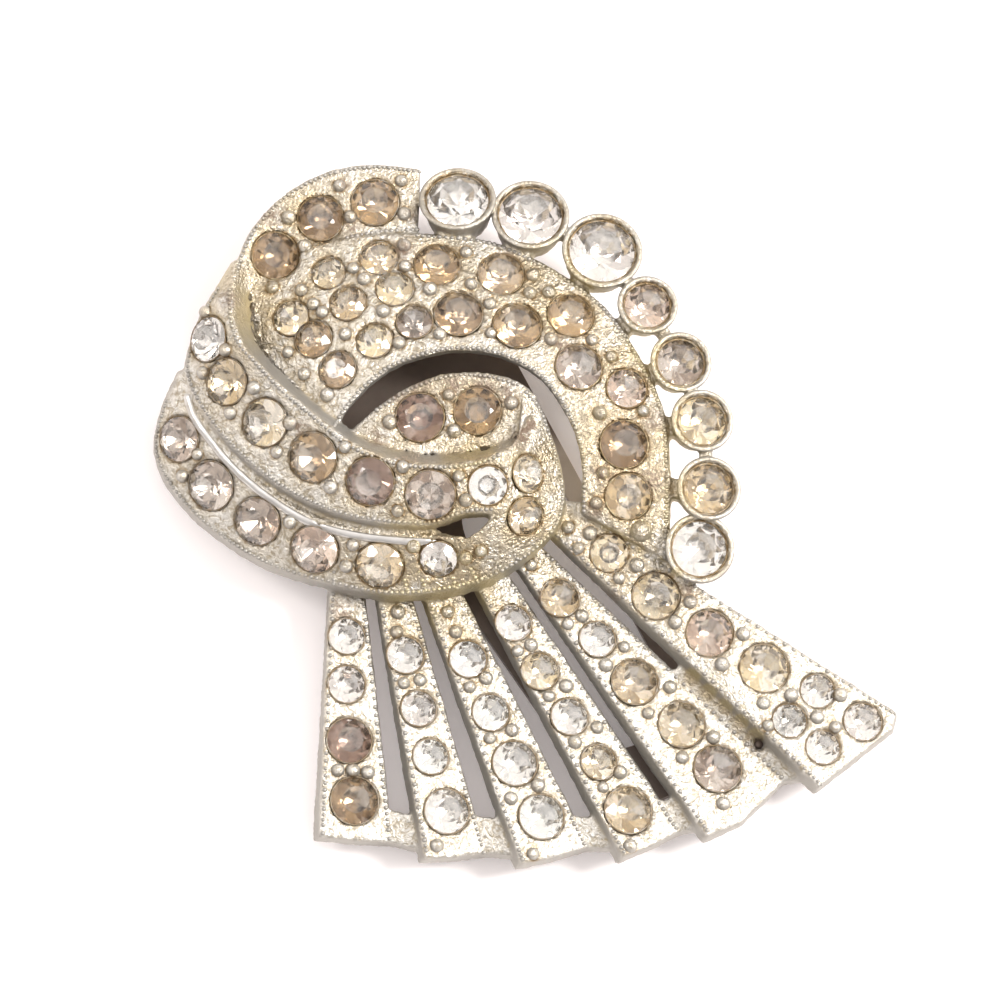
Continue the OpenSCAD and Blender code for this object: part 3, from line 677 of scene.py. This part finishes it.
RUST_SPOTS_AND_SCRATCH_SHADE = [
    (395, 394, 9, 1), (422, 384, 9, 1), (508, 394, 8, 1), (378, 438, 7, 1), (270, 216, 8, 1),
    (352, 228, 6, 1), (345, 182, 5, 1), (404, 250, 8, 1), (341, 611, 9, 1), (560, 345, 8, 1),
    (600, 476, 8, 1), (652, 480, 9, 1), (655, 420, 8, 1), (375, 470, 8, 1), (455, 386, 9, 1),
    (484, 388, 10, 1), (446, 530, 7, 1), (520, 441, 7, 1), (296, 330, 6, 1), (595, 510, 6, 1),
    # The three strong spots from (531, 425) to (522, 437) are painted shade in the scratch at the oval's
    # end; the other spots are rust.
    (230, 300, 7, 1), (192, 330, 6, 1), (531, 425, 3, 4), (526, 431, 3, 4), (522, 437, 3, 4),
    (755, 743, 5, 1), (300, 428, 6, 1), (505, 262, 7, 1), (410, 214, 5, 1), (690, 590, 7, 1),
    (540, 600, 6, 1), (612, 596, 6, 1),
]
print("charted:", len(TARNISH), "tarnished places and", len(RUST_SPOTS_AND_SCRATCH_SHADE), "rusty spots")


# %% Helpers for working on all corners at once
def corner_values(mesh, what):
    values = np.empty(len(mesh.vertices) * 3)
    mesh.vertices.foreach_get(what, values)
    return values.reshape(-1, 3)


def links_of(mesh):
    ends = np.empty(len(mesh.edges) * 2, int)
    mesh.edges.foreach_get("vertices", ends)
    a, b = ends.reshape(-1, 2).T
    return np.r_[a, b], np.r_[b, a]


def averaged(values, links, passes):
    here, there = links
    count = np.maximum(np.bincount(here, minlength=len(values)), 1)
    for _ in range(passes):
        values = np.bincount(here, weights=values[there], minlength=len(values)) / count
    return values


def fading(way, size):
    return np.exp(-np.maximum(way, 0) / size)


def spots_at(u, v, spots, least):
    felt = np.full(len(u), least)
    for x, y, r, strength in spots:
        felt = np.maximum(felt, strength * np.exp(-((u - x) ** 2 + (v - y) ** 2) / (2 * r * r)))
    return felt


# %% Stain attributes
STONE_FILM, GRAIN_FILM = 0.5 * MM, 0.28 * MM
GRAIN_SHARE, BEAD_TARNISH, LEAST_TARNISH = 0.95, 0.8, 0.12
STEEP_FROM, STEEP_OVER, LEVEL_PASSES = 0.72, 0.3, 3


def stain(piece, passes):
    co, normals = corner_values(piece.data, "co"), corner_values(piece.data, "normal")
    links = links_of(piece.data)
    soft = np.stack([averaged(co[:, k], links, passes) for k in range(3)], 1)
    hollow = ((soft - co) * normals).sum(1) / MM
    near = np.zeros(len(co))
    for stone in stones:
        way = np.linalg.norm(co - np.array(stone["at"]), axis=1) - stone["wide"] / 2
        near = np.maximum(near, fading(way, STONE_FILM))
    if piece is skin:
        for place in grain_places:
            way = np.linalg.norm(co - np.array(place.translation), axis=1) - GRAIN_R
            near = np.maximum(near, GRAIN_SHARE * fading(way, GRAIN_FILM))
    flat = co - np.array(MIDDLE)
    u = MIDDLE_U + flat @ np.array(across) / STEP
    v = MIDDLE_V - flat @ np.array(upward) / STEP
    tarnish = spots_at(u, v, TARNISH, LEAST_TARNISH)
    if piece in (grains, edge_beads):
        tarnish *= BEAD_TARNISH
    level = averaged(normals[:, 2], links, LEVEL_PASSES)
    steep = np.clip((STEEP_FROM - level) / STEEP_OVER, 0, 1)
    layers = {"near_stone": near, "hollow": hollow, "tarnish": tarnish, "steep": steep,
              "rust": spots_at(u, v, RUST_SPOTS_AND_SCRATCH_SHADE, 0.0)}
    for name, values in layers.items():
        layer = piece.data.attributes.new(name, "FLOAT", "POINT")
        layer.data.foreach_set("value", values.astype(np.float32))
    return hollow


depths = stain(skin, 10)
for piece in (grains, edge_beads, lips):
    stain(piece, 1)
print("hollow, 5th and 95th share in mm:", np.percentile(depths, [5, 95]).round(3))

# %% [markdown]
# ## Helpers for finishes
# A finish is a tree of shader nodes, and in the editor each node is added and wired by
# hand. These helpers say the same in words: add a node, plug in a value or another
# node's output, do sums, blend two colours, make noise, press a relief.

# %% Helpers for finishes
def start_finish(name):
    finish = bpy.data.materials.get(name) or bpy.data.materials.new(name)
    finish.use_nodes = True
    tree = finish.node_tree
    shader = tree.nodes["Principled BSDF"]
    return finish, tree, shader


def plug(tree, socket, value):
    if hasattr(value, "is_output"):
        tree.links.new(value, socket)
    else:
        socket.default_value = value


def give(tree, shader, inputs):
    for name, value in inputs.items():
        plug(tree, shader.inputs[name], value)


def add(tree, kind, settings=None, **inputs):
    made = tree.nodes.new(kind)
    for key, value in (settings or {}).items():
        setattr(made, key, value)
    give(tree, made, {int(key[1:]) if key[1:].isdigit() else key: value for key, value in inputs.items()})
    return made


def own_place(tree):
    return add(tree, "ShaderNodeTexCoord").outputs["Object"]


def worn(tree, name):
    return add(tree, "ShaderNodeAttribute", {"attribute_name": name}).outputs["Fac"]


def maths(tree, how, a, b, clamp):
    return add(tree, "ShaderNodeMath", {"operation": how, "use_clamp": clamp}, n0=a, n1=b).outputs[0]


def times(tree, a, b, clamp=False):
    return maths(tree, "MULTIPLY", a, b, clamp)


def plus(tree, a, b):
    return maths(tree, "ADD", a, b, False)


def minus(tree, a, b, clamp=False):
    return maths(tree, "SUBTRACT", a, b, clamp)


def larger(tree, a, b):
    return maths(tree, "MAXIMUM", a, b, False)


def blend(tree, share, a, b):
    return add(tree, "ShaderNodeMix", {"data_type": "RGBA"}, n0=share, n6=a, n7=b).outputs[2]


def noise_at(tree, place, scale, detail=3.0, rough=0.6, curl=0.0):
    return add(tree, "ShaderNodeTexNoise", Vector=place, Scale=scale, Detail=detail, Roughness=rough,
               Distortion=curl).outputs["Fac"]


def ramp(tree, value, low, high):
    made = add(tree, "ShaderNodeMapRange", {"interpolation_type": "SMOOTHSTEP"}, n0=value, n1=low, n2=high)
    return made.outputs[0]


def relief(tree, height, strength, deep):
    made = add(tree, "ShaderNodeBump", Height=height, Strength=strength, Distance=deep * MM)
    return made.outputs[0]


def coat(piece, finish):
    piece.data.materials.clear()
    piece.data.materials.append(finish)


# %% [markdown]
# ## Finish: grainy cast metal
# White metal that was never polished: bright silver under a fine pitted grain. The
# colour is built in layers. First the metal, then a creamy film where a stone is near
# or the clip is tarnished, broken up by noise, then a brown mottle in curls. Steep walls
# are painted darker as painted shade: grey, or olive where they are tarnished. Then come
# brown specks round the stones, a dark ring in the seam round stones and grains that is
# painted contact shade with some dirt, dirt in the hollows and the rusty spots, and
# painted shade in the scratch at the end of the pointed oval.

# %% Colours of the cast metal
METAL, FILM, MOTTLE = (0.67, 0.65, 0.61, 1), (0.49, 0.405, 0.275, 1), (0.35, 0.30, 0.22, 1)
# Colours of the painted shade on steep walls: a darker grey, and a darkened olive where tarnished.
SHADED_GREY_WALL, SHADED_OLIVE_WALL = (0.33, 0.315, 0.29, 1), (0.46, 0.40, 0.255, 1)
BROWN, SEAM_SHADE_AND_DIRT, DIRT = (0.28, 0.20, 0.11, 1), (0.17, 0.12, 0.065, 1), (0.34, 0.27, 0.16, 1)
RUST_AND_SCRATCH_SHADE_BROWN = (0.17, 0.12, 0.085, 1)

cast_metal, tree, shader = start_finish("grainy cast metal")
place = own_place(tree)
patches = noise_at(tree, place, 420, 4)
specks = noise_at(tree, place, 2600, 3)
fine = noise_at(tree, place, 5200, 3, 0.7)
curls = noise_at(tree, place, 1500, 3, 0.6, 1.6)
steep, near, tarnish = worn(tree, "steep"), worn(tree, "near_stone"), worn(tree, "tarnish")

film = plus(tree, times(tree, near, 0.55), times(tree, tarnish, 0.9))
film = times(tree, film, ramp(tree, patches, 0.25, 0.6), clamp=True)
colour = blend(tree, film, METAL, FILM)

mottle = larger(tree, ramp(tree, curls, 0.42, 0.62), times(tree, ramp(tree, fine, 0.48, 0.68), 0.6))
grime = plus(tree, minus(tree, 0.8, times(tree, steep, 0.6)), times(tree, tarnish, 0.2))
colour = blend(tree, times(tree, mottle, grime, clamp=True), colour, MOTTLE)

# Painted shade: steep walls are painted a darker grey, or a darkened olive where they are tarnished.
wall_shade = blend(tree, ramp(tree, tarnish, 0.5, 0.95), SHADED_GREY_WALL, SHADED_OLIVE_WALL)
colour = blend(tree, times(tree, steep, 0.85), colour, wall_shade)

brown = times(tree, ramp(tree, near, 0.4, 0.95), ramp(tree, specks, 0.38, 0.58))
brown = times(tree, brown, plus(tree, 0.5, tarnish), clamp=True)
colour = blend(tree, brown, colour, BROWN)
# Painted contact shade with some dirt: a dark ring in the seam where the metal meets a stone or a grain.
breaks = ramp(tree, noise_at(tree, place, 800, 2), 0.36, 0.6)
ring = times(tree, ramp(tree, near, 0.72, 1.0), plus(tree, 0.25, times(tree, breaks, 0.75)))
colour = blend(tree, ring, colour, SEAM_SHADE_AND_DIRT)

dirt = times(tree, ramp(tree, worn(tree, "hollow"), 0.04, 0.22), ramp(tree, specks, 0.2, 0.6), clamp=True)
dirt = times(tree, dirt, 0.8)
colour = blend(tree, dirt, colour, DIRT)
# The rust layer also carries painted shade in the scratch at the end of the pointed oval.
rust_and_scratch_shade = times(tree, worn(tree, "rust"), ramp(tree, specks, 0.3, 0.62), clamp=True)
colour = blend(tree, rust_and_scratch_shade, colour, RUST_AND_SCRATCH_SHADE_BROWN)

# %% Gloss and relief of the cast metal
dull = times(tree, larger(tree, dirt, rust_and_scratch_shade), 0.75)
rough = plus(tree, minus(tree, 0.5, times(tree, tarnish, 0.12)), times(tree, steep, 0.15))
pits = add(tree, "ShaderNodeTexVoronoi", Vector=place, Scale=4200.0).outputs["Distance"]
height = plus(tree, times(tree, specks, 0.6), times(tree, pits, 0.5))
height = minus(tree, height, times(tree, curls, 1.6))
strength = plus(tree, 0.6, times(tree, tarnish, 0.5))
strength = minus(tree, strength, times(tree, steep, 0.6), clamp=True)
give(tree, shader, {"Base Color": colour, "Metallic": minus(tree, 1.0, dull), "Roughness": rough,
                    "Normal": relief(tree, height, strength, 0.14)})
cast_pieces = (skin, grains, edge_beads, lips)
for piece in cast_pieces:
    coat(piece, cast_metal)
print("cast metal on", len(cast_pieces), "pieces")

# %% [markdown]
# ## Finish: buffed metal
# The rim was buffed on a wheel, so it is smoother and brighter than the rest. A plain
# mirror would look new, so noise makes it a little duller and rougher in places.

# %% Buffed metal
BUFFED, RUBBED = (0.64, 0.62, 0.59, 1), (0.46, 0.42, 0.37, 1)

buffed, tree, shader = start_finish("buffed metal")
place = own_place(tree)
rubs = noise_at(tree, place, 900, 4)
give(tree, shader, {
    "Base Color": blend(tree, ramp(tree, rubs, 0.5, 0.8), BUFFED, RUBBED), "Metallic": 1,
    "Roughness": plus(tree, 0.24, times(tree, rubs, 0.25)),
    "Normal": relief(tree, noise_at(tree, place, 1500, 3), 0.4, 0.06)})
coat(rim, buffed)
print("buffed metal on", rim.name)

# %% [markdown]
# ## Finish: glass on foil
# The crown and girdle are clear glass. The pavilion carries the foil: a metal seen
# through the glass, whose colour and haze come from the stone's own attributes. Light
# enters at the crown, is thrown back by the foil and leaves again, so the facets flash
# as they do on the real stones. On top of that, random facets of the foil are painted
# near white as painted glints, and others dark as painted dark reflections. Blotches of
# noise break up the dull foils.

# %% Glass and foil
PAINTED_GLINT_WHITE, PAINTED_FACET_SHADE, BLOTCH = (1.0, 0.975, 0.94, 1), (0.22, 0.16, 0.13, 1), (0.26, 0.20, 0.15, 1)

_, tree, shader = start_finish("stone glass")
scuffs = ramp(tree, noise_at(tree, own_place(tree), 1800, 4), 0.45, 0.8)
scuffs = times(tree, scuffs, times(tree, worn(tree, "haze"), 0.25))
give(tree, shader, {"Base Color": (1, 0.99, 0.97, 1), "Transmission Weight": 1, "IOR": 1.56,
                    "Roughness": plus(tree, 0.02, scuffs)})

_, tree, shader = start_finish("stone foil")
place = own_place(tree)
haze, glint = worn(tree, "haze"), worn(tree, "glint")
tint = add(tree, "ShaderNodeAttribute", {"attribute_name": "foil"}).outputs["Color"]
# Painted glints and painted dark reflections: by its random glint value, a facet is painted near white or
# dark.
painted_glint_share = minus(tree, 0.85, times(tree, haze, 2.4))
painted_glint_share = times(tree, ramp(tree, glint, 0.62, 0.7), painted_glint_share, clamp=True)
colour = blend(tree, painted_glint_share, tint, PAINTED_GLINT_WHITE)
dark = times(tree, ramp(tree, glint, 0.32, 0.2), plus(tree, 0.3, haze), clamp=True)
dark = times(tree, dark, ramp(tree, haze, -0.02, 0.05))
colour = blend(tree, dark, colour, PAINTED_FACET_SHADE)
blotch = ramp(tree, noise_at(tree, place, 1900, 6, 0.75), 0.45, 0.62)
dim = times(tree, blotch, plus(tree, 0.05, haze), clamp=True)
colour = blend(tree, dim, colour, BLOTCH)
give(tree, shader, {
    "Base Color": colour, "Metallic": 0.88, "Roughness": plus(tree, 0.02, times(tree, haze, 0.1)),
    "Normal": relief(tree, noise_at(tree, place, 2400, 3), 0.25, 0.05)})

# %% [markdown]
# ## Finish: the dark clip behind
# The clip is stamped from plated sheet that has gone a dull dark brown. Its solid is
# right as it is, so only its finish changes: streaks along the sheet, worn spots, a
# paler patch under the crescent's end and a soft sheen. The dark ball that paints the
# shade in the casting hole shares it.

# %% Dark metal
DARK, LESS_DARK = (0.13, 0.10, 0.083, 1), (0.26, 0.205, 0.172, 1)
WORN, PALE_PATCH = (0.20, 0.17, 0.14, 1), (0.62, 0.54, 0.46, 1)
PALE_PATCH_OUT, PALE_PATCH_IN = 4.2 * MM, 1.6 * MM

dark_metal, tree, shader = start_finish("dark stamped metal")
place = own_place(tree)
spots = ramp(tree, noise_at(tree, place, 1500, 4), 0.5, 0.75)
colour = blend(tree, noise_at(tree, place, 260, 5), DARK, LESS_DARK)
colour = blend(tree, times(tree, spots, 0.5), colour, WORN)
pale_spot = sighted(566, 478)
pale_spot.z = 1 * MM
apart = add(tree, "ShaderNodeVectorMath", {"operation": "DISTANCE"}, n0=place, n1=pale_spot)
colour = blend(tree, ramp(tree, apart.outputs["Value"], PALE_PATCH_OUT, PALE_PATCH_IN), colour, PALE_PATCH)
give(tree, shader, {
    "Base Color": colour, "Metallic": 0.55, "Roughness": plus(tree, 0.42, times(tree, spots, 0.2)),
    "Normal": relief(tree, noise_at(tree, place, 3000, 3), 0.3, 0.03)})
clip = node["back_clip"]
if not clip.material_slots:
    clip.data.materials.append(dark_metal)
for slot in clip.material_slots:
    slot.material = dark_metal
coat(shade_plug, dark_metal)
print("dark metal on", clip.name, "and", shade_plug.name)

# %% [markdown]
# ## Floor, light and camera
# The clip lies on plain white paper under soft, strong light, so the paper burns out
# to white but for a faint warm shadow at the lower left. A long lens from far away
# shows no perspective, as in the picture.

# %% Floor
FLOOR_SIZE = 8.0

bpy.ops.object.select_all(action="DESELECT")
bpy.ops.mesh.primitive_plane_add(size=FLOOR_SIZE)
floor = bpy.context.object
floor.name = "floor"
paper, tree, shader = start_finish("white paper")
give(tree, shader, {"Base Color": (0.92, 0.88, 0.872, 1), "Roughness": 0.9,
                    "Emission Color": (1.0, 0.93, 0.92, 1), "Emission Strength": 0.14})
floor.data.materials.append(paper)


# %% Lights
KEY_WATTS, FILL_WATTS = 8.2, 1.4
SKY_LEAST, SKY_MORE = 0.46, 0.84


def soft_box(name, place, size, watts, colour):
    lamp = bpy.data.lights.new(name, "AREA")
    lamp.shape, lamp.size, lamp.energy, lamp.color = "DISK", size, watts, colour
    box = bpy.data.objects.new(name, lamp)
    box.location = place
    box.rotation_euler = (-Vector(place)).to_track_quat("-Z", "Y").to_euler()
    bpy.context.collection.objects.link(box)


key_place = across * 0.52 + along * 0.08 + Vector((0, 0, 0.55))
fill_place = across * -0.45 + along * 0.2 + Vector((0, 0, 0.5))
soft_box("key", key_place, 0.3, KEY_WATTS, (1.0, 0.985, 0.96))
soft_box("fill", fill_place, 0.2, FILL_WATTS, (1.0, 0.97, 0.95))
world = bpy.data.worlds.new("studio")
bpy.context.scene.world = world
world.use_nodes = True
tent = world.node_tree
skyward = add(tent, "ShaderNodeTexCoord").outputs["Generated"]
side = add(tent, "ShaderNodeVectorMath", {"operation": "DOT_PRODUCT"}, n0=skyward, n1=(0.25, 0.20, 0.95))
glow = times(tent, ramp(tent, side.outputs["Value"], -0.3, 0.95), SKY_MORE)
give(tent, tent.nodes["Background"], {"Color": (1.0, 0.965, 0.955, 1),
                                      "Strength": plus(tent, SKY_LEAST, glow)})
bpy.context.scene.view_settings.view_transform = "Standard"
bpy.context.scene.view_settings.look = "None"
print("lights in watts:", KEY_WATTS, FILL_WATTS)

# %% Camera
FAR, SENSOR, PICTURE = 1.8, 36, 1000

lens = bpy.data.cameras.new("camera")
lens.sensor_width = SENSOR
lens.lens = SENSOR * FAR / (PICTURE * STEP)
lens.clip_start, lens.clip_end = 0.1, 20
eye = bpy.data.objects.new("camera", lens)
eye.location = sighted(500, 500, 6 * MM) + toward * FAR
eye.rotation_euler = (-toward).to_track_quat("-Z", "Y").to_euler()
bpy.context.collection.objects.link(eye)
bpy.context.scene.camera = eye
print("lens:", round(lens.lens), "mm")
